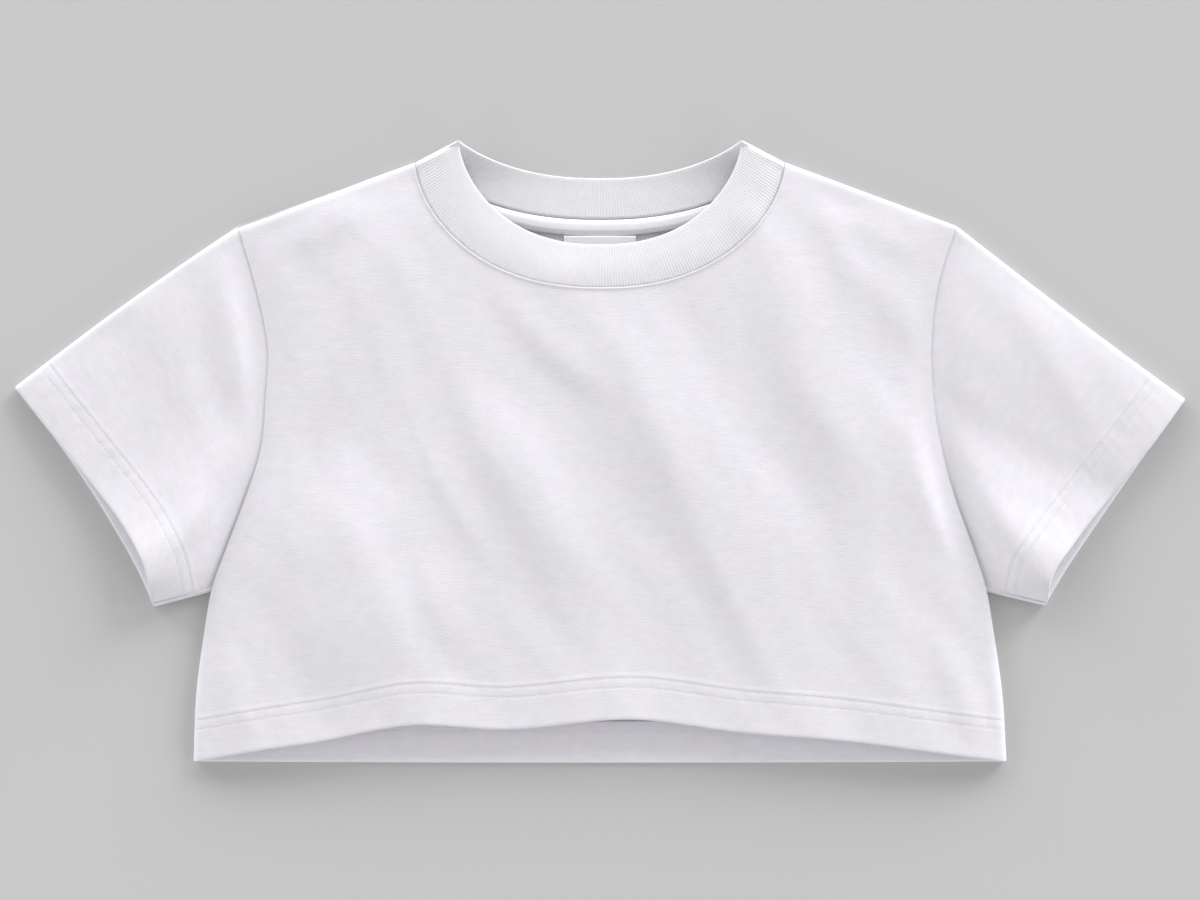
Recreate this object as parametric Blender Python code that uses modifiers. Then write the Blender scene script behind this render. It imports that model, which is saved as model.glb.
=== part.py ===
"""A cropped T-shirt of heavy white cotton jersey, lying flat on its back on a level surface.

Z is up and the surface is at z = 0. The front panel faces up, the neck points along +Y and the hem along -Y.
Left and right are as seen from above. The origin is under the middle of the garment.
Lengths are in metres. The tables are typed in millimetres, and column() turns them into metres.

Every cloth piece is the outer face of its cloth, worked out as a surface of two parameters, with a Solidify
modifier that gives it its wall on the inner side. Panels meet at seams that leave SEAM_GAP between them.
"""

import math

import bmesh
import bpy
import numpy as np

MM = 0.001

# Cloth
WALL = 0.0010  # jersey
HEM_WALL = 0.0020  # two layers of jersey in the hem and the cuffs
RIB_WALL = 0.0020  # the doubled rib of the collar
TRIM_WALL = 0.0010  # neck tape and label
HEM_DEPTH = 0.025  # turned-up depth of the hem and of the cuffs
HEM_STEP = 0.0010  # half the width over which the wall thins above a hem
SEAM_GAP = 0.0003

# Heights of the outer face
ROLL = 0.003  # radius of the soft fold along the sides, the shoulders and the sleeves
UNDERARM_ROLL = 2.3  # times ROLL, for the fold under the arm, which runs aslant of the armhole
TUCK_RISE = 0.0026  # the sleeve bulges this much above the body's low edge under the arm
SEAM_Z = 0.0032  # level of the side and shoulder seams, halfway up that fold
FRONT_EDGE_Z = 0.0066  # the front just inside that fold
FRONT_RISE = 0.0052  # how much higher the middle of the front is
DOME_SIDE_REACH = 0.050  # how far in from a side it takes to rise
DOME_TOP_REACH = 0.060  # and from the top
DOME_TOP_START = 0.012
LIFT_REACH = 0.080  # how far up from the hem its lift fades
FOLD_CLEAR = 0.040  # how far in from a side the folds are at their full height
UNDERARM_REACH = 0.090  # how far up the armhole the body's edge takes to rise from the underarm
BACK_UNDERARM_REACH = 0.030
SHOULDER_REACH = 0.008  # how far down the armhole it widens a little for the shoulder's roll

# The body's outline
HALF_HEM = 0.2544
HEM_Y = -0.1935
SHOULDER_Y = 0.1410
UNDERARM_Y = -0.0880
BODY_SIDE_COLUMNS = ("y", "left_x", "right_x")
BODY_SIDE = (
    (-193.5, -254.4, 254.4),
    (-150.0, -252.5, 251.6),
    (-115.0, -248.0, 246.7),
    (-88.0, -243.3, 242.0),
    (-58.0, -232.6, 232.4),
    (-30.0, -222.0, 222.2),
    (0.0, -212.2, 213.8),
    (34.0, -208.8, 208.3),
    (64.0, -207.4, 206.9),
    (92.0, -212.2, 209.2),
    (118.0, -219.2, 214.8),
    (141.0, -226.3, 223.0),
)
# The free front edge of the hem rides up between the sides, and lifts where it does
FRONT_HEM_COLUMNS = ("x", "y", "lift")
FRONT_HEM = (
    (-254.4, -193.5, 0.0),
    (-215.0, -186.2, 0.4),
    (-178.0, -180.6, 1.0),
    (-116.0, -169.6, 3.0),
    (-62.0, -172.4, 0.4),
    (22.0, -166.1, 4.0),
    (88.0, -174.3, 0.4),
    (150.0, -179.3, 1.6),
    (208.0, -186.8, 0.8),
    (254.4, -193.5, 0.0),
)
BACK_HEM_DIP = 0.0008
HEM_CROWD = 2.2  # radians of the sine that crowds the hem's columns to the sides

# The collar: each edge of the rib is a half superellipse between its two ends on the shoulders
NECK_SEAM_HALF = 0.1155
NECK_SEAM_Y = 0.1809
NECK_EDGE_HALF = 0.0888
NECK_EDGE_Y = 0.1941
FRONT_SEAM_DROP = 0.0787
FRONT_EDGE_DROP = 0.0657
BACK_SEAM_DROP = 0.0356
BACK_EDGE_DROP = 0.0238
NECK_POWER = 2.3  # of x in the superellipse
FRONT_POWER = 1.7  # of y, in front
BACK_POWER = 1.1  # of y, at the back
RIB_PROUD = 0.0010  # how far the rib stands above the front panel
RIB_RISE = FRONT_EDGE_Z + RIB_PROUD - SEAM_Z  # from the fold up to the rib's front, beside the fold
FOLD_CLEARANCE = 0.0013  # extra room between rib and panels where the rib folds over on the shoulders
FOLD_REACH = 0.010  # how far from the fold that room closes
TAPE_WIDTH = 0.0100
TAPE_SPAN = math.radians(60)  # half of the neck curve's angle that the tape covers
LABEL_SIZE = (0.0450, 0.0200)

# The sleeves: a cuff's front edge and its back edge, from the folded top to the underarm
CUFF_COLUMNS = ("y", "front_x", "back_x")
LEFT_CUFF = (
    (40.9, -365.6, -365.6),
    (12.0, -342.4, -343.5),
    (-18.0, -318.0, -322.4),
    (-48.0, -295.0, -303.6),
    (-74.0, -281.4, -289.0),
    (-97.0, -278.6, -278.6),
)
RIGHT_CUFF = (
    (33.4, 365.6, 365.6),
    (4.0, 343.6, 344.8),
    (-26.0, 319.6, 323.8),
    (-54.0, 296.8, 304.6),
    (-77.0, 280.6, 289.4),
    (-96.5, 278.0, 278.0),
)
CUFF_WIDTH = 0.163
TOP_BOW = {"left": 0.0018, "right": -0.0010}  # how far the folded top bows out
TUCK_GAP = 0.0011  # extra room where the body's edge rolls over the sleeve
SHOULDER_GAP = 0.0007  # extra room where both roll over at the shoulder
JOIN_REACH = 0.030  # how far from the armhole a sleeve reaches its own height
# Height of a sleeve's front above the body's edge, at a share of the way from the folded top to the underarm
CROWN_COLUMNS = ("share", "left", "right")
SLEEVE_CROWN = (
    (0, 0.0, 0.0),
    (120, 2.0, 3.0),
    (220, 2.4, 3.8),
    (380, 2.7, 2.8),
    (480, 3.0, 2.0),
    (640, 6.0, 6.2),
    (800, 10.2, 10.6),
    (900, 9.6, 10.0),
    (1000, 4.0, 4.0),
)

# The largest soft folds of the front, from end to end
FOLD_COLUMNS = ("x0", "y0", "x1", "y1", "half_width", "height")
FOLDS = (
    (8, 62, 92, -122, 15, -1.5),
    (36, 70, 112, -128, 18, 1.3),
    (110, 130, 190, -50, 17, 1.8),
    (165, 30, 213, -150, 13, -1.3),
    (-80, 12, 25, -90, 15, 1.3),
    (-68, -6, -25, -110, 12, -1.1),
    (-130, 150, -190, -50, 20, 1.1),
    (-160, -52, -142, -120, 12, -1.1),
)

# Grid sizes
NECK_U = 0.27  # columns from NECK_U to 1 - NECK_U end between the neck's ends, the others on the shoulders
SHOULDER_V = 0.955  # the share of the side where the roll to the shoulder seam starts
SHOULDER_COLUMNS = 6
NECK_COLUMNS = 10
WAIST_ROWS = 3
SLEEVE_ROWS = 8
NECK_ROWS = 3
NECK_STEPS = 15
TAPE_STEPS = 13
NEAR_SHARES = (0.0, 0.06, 0.14)  # of a sleeve's length, beside the armhole
ROLL_ANGLES = (0, 25, 50, 90)  # degrees
ARMHOLE_SHARES = (0, 0.05, 0.10, 0.17, 0.28, 0.42, 0.56, 0.70, 0.85, 1)

COTTON = (0.80, 0.79, 0.82, 1.0)
RIB_COTTON = (0.82, 0.81, 0.83, 1.0)
TAPE_COTTON = (0.82, 0.81, 0.83, 1.0)
LABEL_WHITE = (0.76, 0.75, 0.77, 1.0)

# The block that cuts a neckline
CUTTER_LOW = -0.010
CUTTER_HEIGHT = 0.040
CUTTER_PAST = 0.020  # how far it reaches past the collar's top


def column(name, names, rows):
    """One named column of a table, in metres."""
    return np.array(rows, dtype=float)[:, names.index(name)] * MM


def smooth(at, knots, values):
    """Cubic Hermite curve through (knots, values), with slopes taken from the neighbouring rows."""
    order = np.argsort(knots)
    k, f = knots[order], values[order]
    slope = np.gradient(f, k)
    i = np.clip(np.searchsorted(k, at) - 1, 0, len(k) - 2)
    span = k[i + 1] - k[i]
    t = np.clip((at - k[i]) / span, 0.0, 1.0)
    rise = f[i + 1] - f[i]
    a = slope[i] * span - rise
    b = rise - slope[i + 1] * span
    return f[i] + rise * t + t * (1 - t) * (a * (1 - t) + b * t)


def soft_step(t):
    """Smooth rise from 0 to 1 as t goes from 0 to 1."""
    t = np.clip(t, 0.0, 1.0)
    return t * t * (3 - 2 * t)


def quarter_round(distance, reach=ROLL):
    """Height, from 0 to 1, on a quarter ellipse of this reach, a distance in from its upright end."""
    return np.sqrt(1 - (1 - np.clip(distance / reach, 0.0, 1.0)) ** 2)


def tight_roll(distance, tight, reach=ROLL):
    """As quarter_round where tight is 1, and an ever gentler ramp as it falls to 0."""
    share = tight ** 4
    return share * quarter_round(distance, reach) + (1 - share) * soft_step(distance / reach)


def roll_steps(reach=ROLL):
    """Distances in from a rolled edge, at ROLL_ANGLES of its quarter circle."""
    return reach * (1 - np.cos(np.radians(ROLL_ANGLES)))


def neck_curve(angle, half, end_y, drop, power):
    """Half superellipse: angle -90 and 90 degrees are its ends, and 0 its lowest point."""
    s, c = np.sin(angle), np.abs(np.cos(angle))
    x = half * np.sign(s) * np.abs(s) ** (2 / NECK_POWER)
    return x, end_y - drop * c ** (2 / power)


def body_side(side, v):
    """The body's outline on one side, v from 0 at the hem to 1 at the shoulder."""
    y = HEM_Y + (SHOULDER_Y - HEM_Y) * v
    knots = column("y", BODY_SIDE_COLUMNS, BODY_SIDE)
    return smooth(y, knots, column(side + "_x", BODY_SIDE_COLUMNS, BODY_SIDE)), y


def body_top(u):
    """The top of a body panel before its neckline is cut: shoulder, straight across, shoulder."""
    middle = np.clip((u - NECK_U) / (1 - 2 * NECK_U), 0, 1)
    x = NECK_SEAM_HALF * (2 * middle - 1)
    y = np.full_like(x, NECK_SEAM_Y)
    for side, out in (("left", 1 - u / NECK_U), ("right", (u - 1 + NECK_U) / NECK_U)):
        on = np.clip(out, 0, 1)
        end_x, end_y = body_side(side, np.ones_like(x))
        x = x + (end_x - x) * on
        y = y + (end_y - y) * on
    return x, y


def front_hem(u):
    """The front's free hem edge. Its columns crowd to the sides, and so lean in towards the neck."""
    x = HALF_HEM * np.sin(HEM_CROWD * (u - 0.5)) / math.sin(HEM_CROWD / 2)
    knots = column("x", FRONT_HEM_COLUMNS, FRONT_HEM)
    return x, smooth(x, knots, column("y", FRONT_HEM_COLUMNS, FRONT_HEM))


def back_hem(u):
    """The back's hem edge, almost straight."""
    x = HALF_HEM * np.sin(HEM_CROWD * (u - 0.5)) / math.sin(HEM_CROWD / 2)
    return x, HEM_Y - BACK_HEM_DIP * np.cos(x / HALF_HEM * math.pi / 2)


def panel_plan(u, v, hem):
    """Coons patch between the hem, the sides and the top: plan position of the panel's point (u, v), with its
    distances from the nearer side and from the top."""
    left, right = body_side("left", v), body_side("right", v)
    ends = np.array([0.0, 1.0])
    left_ends, right_ends = body_side("left", ends), body_side("right", ends)
    bottom, top = hem(u), body_top(u)
    point = []
    for i in (0, 1):
        across = (1 - u) * left[i] + u * right[i]
        along = (1 - v) * bottom[i] + v * top[i]
        low = (1 - u) * left_ends[i][0] + u * right_ends[i][0]
        high = (1 - u) * left_ends[i][1] + u * right_ends[i][1]
        point.append(across + along - (1 - v) * low - v * high)
    x, y = point
    from_left = np.hypot(x - left[0], y - left[1])
    from_right = np.hypot(x - right[0], y - right[1])
    from_top = np.hypot(x - top[0], y - top[1])
    return x, y, np.minimum(from_left, from_right), from_top


def fold_height(x, y):
    """Sum of the soft folds: each is a rounded ridge or trough along its line, fading out at both ends."""
    total = np.zeros_like(x)
    columns = [column(name, FOLD_COLUMNS, FOLDS) for name in FOLD_COLUMNS]
    for x0, y0, x1, y1, half_width, height in zip(*columns):
        length = math.hypot(x1 - x0, y1 - y0)
        ux, uy = (x1 - x0) / length, (y1 - y0) / length
        along = (x - x0) * ux + (y - y0) * uy
        off = (x - x0) * uy - (y - y0) * ux
        past = np.maximum(0, np.abs(along - length / 2) - length / 2 + 2 * half_width)
        total += height * np.exp(-((off / half_width) ** 2) - (past / (2 * half_width)) ** 2)
    return total


def dome(from_side, from_top):
    """How much the front rises, these distances in from its side and its top."""
    at_side = 1 - np.exp(-from_side / DOME_SIDE_REACH)
    at_top = 1 - np.exp(-(from_top + DOME_TOP_START) / DOME_TOP_REACH)
    return FRONT_RISE * at_side * at_top


def front_surface(u, v):
    """Outer face of the front panel: low at the seams, domed in between, lifted along the hem."""
    x, y, from_side, from_top = panel_plan(u, v, front_hem)
    knots = column("x", FRONT_HEM_COLUMNS, FRONT_HEM)
    lift = smooth(x, knots, column("lift", FRONT_HEM_COLUMNS, FRONT_HEM)) * np.exp(-(y - HEM_Y) / LIFT_REACH)
    folds = (lift + fold_height(x, y)) * soft_step(from_side / FOLD_CLEAR)
    crown = FRONT_EDGE_Z + dome(from_side, from_top) + folds
    low = SEAM_Z + SEAM_GAP
    above_underarm = soft_step((body_side("left", v)[1] - UNDERARM_Y) / UNDERARM_REACH)
    edge = low + (FRONT_EDGE_Z - low) * above_underarm
    z = edge + (crown - edge) * tight_roll(from_side, 1 - above_underarm)
    return x, y, low + (z - low) * quarter_round(from_top)


def back_surface(u, v):
    """Outer face of the back panel: flat on the surface, rolled up to the side and shoulder seams."""
    x, y, from_side, from_top = panel_plan(u, v, back_hem)
    high = SEAM_Z - SEAM_GAP
    below_underarm = 1 - soft_step((body_side("left", v)[1] - UNDERARM_Y) / BACK_UNDERARM_REACH)
    side = high * below_underarm * (1 - tight_roll(from_side, below_underarm))
    top = high * (1 - quarter_round(from_top))
    return x, y, np.maximum(side, top)


def armhole_rows():
    """The rows of a panel from the underarm to just below the shoulder, which the sleeves share."""
    underarm = (UNDERARM_Y - HEM_Y) / (SHOULDER_Y - HEM_Y)
    return underarm + (SHOULDER_V - underarm) * np.array(ARMHOLE_SHARES)


def shoulder_rows(length):
    """The last rows of a panel, where it rolls over to the shoulder seam, for columns of this length."""
    return 1 - roll_steps()[::-1][:, None] / length


def panel_grid(surface, hem):
    """The panel's grid of points, and where its hem band is."""
    rim = roll_steps() / (2 * HALF_HEM)
    shoulder = np.linspace(rim[-1], NECK_U, SHOULDER_COLUMNS)
    across = np.linspace(NECK_U, 1 - NECK_U, NECK_COLUMNS)
    u = np.concatenate([rim[:-1], shoulder, across[1:-1], 1 - shoulder[::-1], 1 - rim[:-1][::-1]])
    bottom, top = hem(u), body_top(u)
    length = np.hypot(top[0] - bottom[0], top[1] - bottom[1])
    hem_rows = np.array([0.0, HEM_DEPTH - HEM_STEP, HEM_DEPTH + HEM_STEP])[:, None] / length
    arm = armhole_rows()
    waist = np.linspace(hem_rows[-1].max(), arm[0], WAIST_ROWS + 2)[1:-1]
    middle = np.repeat(np.concatenate([waist, arm])[:, None], len(u), axis=1)
    v = np.vstack([hem_rows, middle, shoulder_rows(length)])
    x, y, z = surface(np.broadcast_to(u, v.shape), v)
    in_hem = np.zeros(v.shape)
    in_hem[:2, len(rim) - 1:1 - len(rim)] = 1.0
    return np.stack([x, y, z], axis=-1), in_hem


def sleeve_grid(side):
    """Rings of points round a sleeve, from the armhole to the cuff, and where its turned-up cuff is."""
    cuff_rows = LEFT_CUFF if side == "left" else RIGHT_CUFF
    knots, front_edge, back_edge = (column(name, CUFF_COLUMNS, cuff_rows) for name in CUFF_COLUMNS)
    sign = -1 if side == "left" else 1
    underarm_v = (UNDERARM_Y - HEM_Y) / (SHOULDER_Y - HEM_Y)
    armhole_length = SHOULDER_Y - UNDERARM_Y
    rolled = shoulder_rows(np.array([SHOULDER_Y - HEM_Y]))[:, 0]
    shared = (1 - np.concatenate([armhole_rows()[1:], rolled])) / (1 - underarm_v)
    half = np.concatenate([shared[::-1], 1 - UNDERARM_ROLL * roll_steps()[::-1] / armhole_length])
    ring = np.concatenate([half, half[-2:0:-1]])
    is_back = np.arange(len(ring)) >= len(half)

    armhole_v = 1 - ring * (1 - underarm_v)
    arm_x, arm_y = body_side(side, armhole_v)
    # The seam is tight at the shoulder, and opens where the body's edge rolls over the sleeve
    tuck = 1 - soft_step((arm_y - UNDERARM_Y) / UNDERARM_REACH)
    at_shoulder = 1 - soft_step((SHOULDER_Y - arm_y) / SHOULDER_REACH)
    arm_x = arm_x + sign * (SEAM_GAP + TUCK_GAP * tuck + SHOULDER_GAP * at_shoulder)

    cuff_y = knots[0] + (knots[-1] - knots[0]) * ring
    cuff_x = np.where(is_back, smooth(cuff_y, knots, back_edge), smooth(cuff_y, knots, front_edge))

    length = np.hypot(cuff_x - arm_x, cuff_y - arm_y)
    far = np.linspace(NEAR_SHARES[-1], 1.0, SLEEVE_ROWS)[1:-2]
    in_cuff = 1 - np.array([HEM_DEPTH + HEM_STEP, HEM_DEPTH - HEM_STEP, 0.0])[:, None] / length
    above_cuff = np.concatenate([NEAR_SHARES, far])[:, None] * (1 - (HEM_DEPTH + HEM_STEP) / length)
    s = np.vstack([above_cuff, in_cuff])

    t = np.broadcast_to(ring, s.shape)
    x = arm_x + (cuff_x - arm_x) * s
    y = arm_y + (cuff_y - arm_y) * s
    top_normal = np.array([knots[0] - SHOULDER_Y, arm_x[0] - front_edge[0]]) * -sign
    top_normal = top_normal / np.linalg.norm(top_normal)
    bow = TOP_BOW[side] * np.sin(np.pi * s) * (1 - t)
    x = x + top_normal[0] * bow
    y = y + np.abs(top_normal[1]) * bow

    width = armhole_length + (CUFF_WIDTH - armhole_length) * s
    hug = quarter_round(t * width) * quarter_round((1 - t) * width, UNDERARM_ROLL * ROLL)
    crown_share = column("share", CROWN_COLUMNS, SLEEVE_CROWN)
    crown = FRONT_EDGE_Z + smooth(t, crown_share, column(side, CROWN_COLUMNS, SLEEVE_CROWN))
    free = SEAM_Z + (crown - SEAM_Z) * hug
    rim_z = front_surface(np.full(ring.shape, 0.0 if side == "left" else 1.0), armhole_v)[2]
    under_hug = quarter_round((1 - ring) * armhole_length, UNDERARM_ROLL * ROLL)
    rim_z = SEAM_Z + (rim_z + TUCK_RISE * tuck - SEAM_Z) * under_hug
    joined = soft_step(s * length / JOIN_REACH)
    front_z = rim_z + (free - rim_z) * joined
    z = np.where(is_back, SEAM_Z * (1 - hug), front_z)
    on_fold = (ring == 0) | (ring == 1)
    z[:, on_fold] = SEAM_Z
    in_hem = np.zeros(s.shape)
    in_hem[-2:] = hug[-2:] == 1
    return np.stack([x, y, z], axis=-1), in_hem


def neck_angles(drop, power, reach):
    """Angles along a neck curve, crowded at its two ends where the rib folds over."""
    near = np.arccos((roll_steps(reach) / drop) ** (power / 2))
    inner = np.linspace(-near[-1], near[-1], NECK_STEPS)[1:-1]
    return np.concatenate([-near, inner, near[::-1]])


def rib_grid():
    """Rings of points round the collar, from its seam to its free edge."""
    front_angle = neck_angles(FRONT_SEAM_DROP, FRONT_POWER, RIB_RISE)
    back_angle = neck_angles(BACK_SEAM_DROP, BACK_POWER, SEAM_Z)[::-1][1:-1]
    angle = np.concatenate([front_angle, back_angle])
    is_back = np.arange(len(angle)) >= len(front_angle)
    seam_drop = np.where(is_back, BACK_SEAM_DROP, FRONT_SEAM_DROP)
    edge_drop = np.where(is_back, BACK_EDGE_DROP, FRONT_EDGE_DROP)
    power = np.where(is_back, BACK_POWER, FRONT_POWER)
    seam = np.stack(neck_curve(angle, NECK_SEAM_HALF, NECK_SEAM_Y, seam_drop, power))
    edge = np.stack(neck_curve(angle, NECK_EDGE_HALF, NECK_EDGE_Y, edge_drop, power))
    width = np.hypot(*(edge - seam))
    from_fold = np.hypot(np.abs(seam[0]) - NECK_SEAM_HALF, seam[1] - NECK_SEAM_Y)
    start = (SEAM_GAP + FOLD_CLEARANCE * (1 - soft_step(from_fold / FOLD_REACH))) / width
    w = start + (1 - start) * np.linspace(0, 1, NECK_ROWS)[:, None]
    x = seam[0] + (edge[0] - seam[0]) * w
    y = seam[1] + (edge[1] - seam[1]) * w
    fold_x = NECK_SEAM_HALF + (NECK_EDGE_HALF - NECK_SEAM_HALF) * w
    fold_y = NECK_SEAM_Y + (NECK_EDGE_Y - NECK_SEAM_Y) * w
    hug = quarter_round(np.hypot(np.abs(x) - fold_x, y - fold_y), np.where(is_back, SEAM_Z, RIB_RISE))
    # The front half follows the panel's own rise along the seam
    side_x = body_side("right", (seam[1] - HEM_Y) / (SHOULDER_Y - HEM_Y))[0]
    panel_rise = dome(side_x - np.abs(seam[0]), NECK_SEAM_Y - seam[1])
    rise = RIB_RISE + panel_rise * soft_step(from_fold / FOLD_REACH)
    z = SEAM_Z + hug * np.where(is_back, -SEAM_Z, rise)
    return np.stack([x, y, z], axis=-1)


def tape_grid():
    """The tape on the inside of the back, under the neck seam: points of the back moved down and out."""
    angle = np.linspace(-TAPE_SPAN, TAPE_SPAN, TAPE_STEPS)
    x, y = neck_curve(angle, NECK_SEAM_HALF, NECK_SEAM_Y, BACK_SEAM_DROP, BACK_POWER)
    y = y - np.array([SEAM_GAP, TAPE_WIDTH])[:, None]
    z = np.full_like(y, WALL + SEAM_GAP + TRIM_WALL)
    return np.stack([np.broadcast_to(x, y.shape), y, z], axis=-1)


def cut_neckline(panel, drop, power, reach):
    """Cuts the neckline through a panel with an upright block of the neck curve's outline."""
    x, y = neck_curve(neck_angles(drop, power, reach), NECK_SEAM_HALF, NECK_SEAM_Y, drop, power)
    past = NECK_EDGE_Y + CUTTER_PAST
    outline = list(zip(x, y)) + [(NECK_SEAM_HALF, past), (-NECK_SEAM_HALF, past)]
    built = bmesh.new()
    face = built.faces.new([built.verts.new((px, py, CUTTER_LOW)) for px, py in outline])
    raised = bmesh.ops.extrude_face_region(built, geom=[face])["geom"]
    moved = [item for item in raised if isinstance(item, bmesh.types.BMVert)]
    bmesh.ops.translate(built, verts=moved, vec=(0, 0, CUTTER_HEIGHT))
    bmesh.ops.recalc_face_normals(built, faces=built.faces)
    mesh = bpy.data.meshes.new("neckline_" + panel.name)
    built.to_mesh(mesh)
    built.free()
    cutter = bpy.data.objects.new("neckline_" + panel.name, mesh)
    cutter.hide_render = True
    cutter.display_type = "WIRE"
    cutters.objects.link(cutter)
    cut = panel.modifiers.new("neckline", "BOOLEAN")
    cut.operation = "DIFFERENCE"
    cut.object = cutter


def grid_faces(rows, columns, closed):
    """Quads of a grid of points; closed joins its last column to its first."""
    faces = []
    for row in range(rows - 1):
        low, high = row * columns, (row + 1) * columns
        for here in range(columns if closed else columns - 1):
            beside = (here + 1) % columns
            faces.append((low + here, low + beside, high + beside, high + here))
    return faces


def make_material(name, colour, roughness):
    """A plain cloth material."""
    made = bpy.data.materials.new(name)
    made.use_nodes = True
    shader = made.node_tree.nodes["Principled BSDF"]
    shader.inputs["Base Color"].default_value = colour
    shader.inputs["Roughness"].default_value = roughness
    shader.inputs["Metallic"].default_value = 0.0
    return made


def make_cloth(name, points, wall, material, closed=False, flip=False, doubled=None):
    """An object from a grid of points on its outer face, with a wall on the inner side.
    doubled is 1 where the cloth is turned up, and its wall is HEM_WALL."""
    rows, columns = points.shape[:2]
    mesh = bpy.data.meshes.new(name)
    mesh.from_pydata(points.reshape(-1, 3).tolist(), [], grid_faces(rows, columns, closed))
    if flip:
        mesh.flip_normals()
    mesh.materials.append(material)
    mesh.shade_smooth()
    made = bpy.data.objects.new(name, mesh)
    collection.objects.link(made)
    thickness = made.modifiers.new("wall", "SOLIDIFY")
    thickness.offset = -1.0
    thickness.thickness = wall
    thickness.use_even_offset = False
    if doubled is not None:
        thickness.thickness = HEM_WALL
        group = made.vertex_groups.new(name="wall")
        share = np.where(doubled.ravel() > 0.5, 1.0, wall / HEM_WALL)
        for index, weight in enumerate(share):
            group.add([index], float(weight), "REPLACE")
        thickness.vertex_group = group.name
    return made


for old in list(bpy.data.objects):
    bpy.data.objects.remove(old, do_unlink=True)
collection = bpy.data.collections.new("crop_top")
bpy.context.scene.collection.children.link(collection)
cutters = bpy.data.collections.new("cutters")
bpy.context.scene.collection.children.link(cutters)

jersey = make_material("jersey", COTTON, 0.92)
rib = make_material("rib", RIB_COTTON, 0.92)
tape = make_material("tape", TAPE_COTTON, 0.85)
label = make_material("label", LABEL_WHITE, 0.60)

front_points, front_hem_band = panel_grid(front_surface, front_hem)
front = make_cloth("front", front_points, WALL, jersey, doubled=front_hem_band)
cut_neckline(front, FRONT_SEAM_DROP, FRONT_POWER, RIB_RISE)

back_points, back_hem_band = panel_grid(back_surface, back_hem)
back = make_cloth("back", back_points, WALL, jersey, flip=True, doubled=back_hem_band)
cut_neckline(back, BACK_SEAM_DROP, BACK_POWER, SEAM_Z)

for side in ("left", "right"):
    sleeve_points, cuff_band = sleeve_grid(side)
    make_cloth(
        "sleeve_" + side, sleeve_points, WALL, jersey, closed=True, flip=side == "left", doubled=cuff_band
    )

make_cloth("neck_rib", rib_grid(), RIB_WALL, rib, closed=True)
make_cloth("neck_tape", tape_grid(), TRIM_WALL, tape, flip=True)

label_top_y = NECK_SEAM_Y - BACK_SEAM_DROP - TAPE_WIDTH - SEAM_GAP
bpy.ops.mesh.primitive_cube_add(
    size=1.0, location=(0.0, label_top_y - LABEL_SIZE[1] / 2, WALL + SEAM_GAP + TRIM_WALL / 2)
)
tag = bpy.context.object
tag.name = "neck_label"
tag.scale = (LABEL_SIZE[0], LABEL_SIZE[1], TRIM_WALL)
bpy.ops.object.transform_apply(location=False, rotation=False, scale=True)
tag.data.materials.append(label)
for home in list(tag.users_collection):
    home.objects.unlink(tag)
collection.objects.link(tag)
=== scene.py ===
"""A cropped T-shirt of heavy white cotton jersey, laid on its back on a pale grey sheet.

Z is up, the neck points along +Y, and left and right are as seen from above. Lengths are in metres. The
tables are typed in millimetres, and table() turns them into metres.
"""

import math

import bpy
import numpy as np
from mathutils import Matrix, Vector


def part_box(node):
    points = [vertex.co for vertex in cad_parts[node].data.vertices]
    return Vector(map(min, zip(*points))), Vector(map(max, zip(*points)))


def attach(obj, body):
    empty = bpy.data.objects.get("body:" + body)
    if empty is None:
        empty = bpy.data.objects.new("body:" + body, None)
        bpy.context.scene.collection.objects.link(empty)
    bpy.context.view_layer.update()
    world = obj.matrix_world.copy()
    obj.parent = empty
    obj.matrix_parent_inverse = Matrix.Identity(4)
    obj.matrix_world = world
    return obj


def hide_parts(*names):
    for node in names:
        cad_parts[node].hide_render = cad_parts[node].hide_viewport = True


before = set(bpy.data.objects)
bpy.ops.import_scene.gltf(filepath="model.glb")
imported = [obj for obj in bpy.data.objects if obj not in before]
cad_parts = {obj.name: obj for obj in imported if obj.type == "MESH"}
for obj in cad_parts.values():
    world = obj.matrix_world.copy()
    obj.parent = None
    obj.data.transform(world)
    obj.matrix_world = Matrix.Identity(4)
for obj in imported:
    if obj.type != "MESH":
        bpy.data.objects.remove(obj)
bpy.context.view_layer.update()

# -------------------------------- the sheet under it, the light and the camera
# The top lies on a wide sheet of matt grey card. Soft light comes in low from all round, and most strongly
# from behind the neck, so that it grazes the folds. The rest comes evenly from above. The camera looks
# straight down.

CARD_HALF = 6.0
CARD_GREY = (0.560, 0.560, 0.560, 1.0)
CAMERA_HEIGHT = 1.777
CAMERA_Y = 0.0009
LENS = 85.0
SENSOR = 36.0
ROOM_LIGHT = 0.490
LIGHT_HEIGHT = 12.5  # degrees above the level
LIGHT_SPREAD = 30.0  # degrees across each light
# name, bearing in degrees from +X towards +Y, strength
FAR_LIGHTS = (
    ("back_left", 132.0, 1.50), ("back", 90.0, 1.25), ("back_right", 50.0, 2.68), ("left", 180.0, 0.60),
    ("right", 0.0, 0.65), ("front_left", 225.0, 0.62), ("front_right", 315.0, 0.62),
)


def principled(name, colour, roughness):
    """A material with one Principled shader, its node tree and the shader."""
    made = bpy.data.materials.new(name)
    made.use_nodes = True
    shader = made.node_tree.nodes["Principled BSDF"]
    shader.inputs["Base Color"].default_value = colour
    shader.inputs["Roughness"].default_value = roughness
    shader.inputs["Specular IOR Level"].default_value = 0.20
    return made, made.node_tree, shader


def far_light(name, bearing, strength):
    """Adds a soft light from far away, at this bearing."""
    light = bpy.data.lights.new(name, "SUN")
    light.energy = strength
    light.angle = math.radians(LIGHT_SPREAD)
    made = bpy.data.objects.new(name, light)
    made.rotation_euler = (math.radians(90 - LIGHT_HEIGHT), 0.0, math.radians(bearing + 90))
    bpy.context.scene.collection.objects.link(made)


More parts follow.
